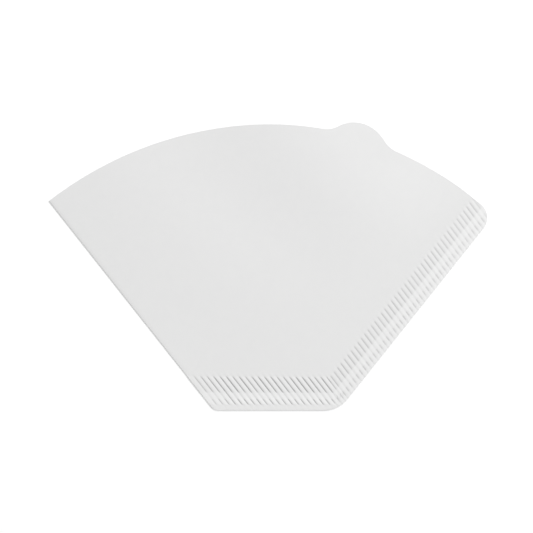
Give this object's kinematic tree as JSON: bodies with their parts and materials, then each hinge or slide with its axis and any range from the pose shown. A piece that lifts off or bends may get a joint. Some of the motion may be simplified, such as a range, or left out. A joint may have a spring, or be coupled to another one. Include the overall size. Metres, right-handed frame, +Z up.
{
  "type": "paper coffee filter",
  "caption": "Folded cone coffee filter of white crimped paper: a fan-shaped pocket with a curved open mouth, a lifting tab, and grooved seams along the bottom and one side.",
  "frame": {"origin": "middle of the filter's footprint, on the surface that it lies on", "axes": "+X from the fold to the side seam, +Y from the bottom seam to the mouth, +Z up from the back ply to the front ply"},
  "size_m": [0.1624, 0.1042, 0.0067],
  "materials": {
    "paper": "matt, slightly fibrous"
  },
  "bodies": {
    "root": {"filter_paper": "paper"}
  },
  "joints": []
}
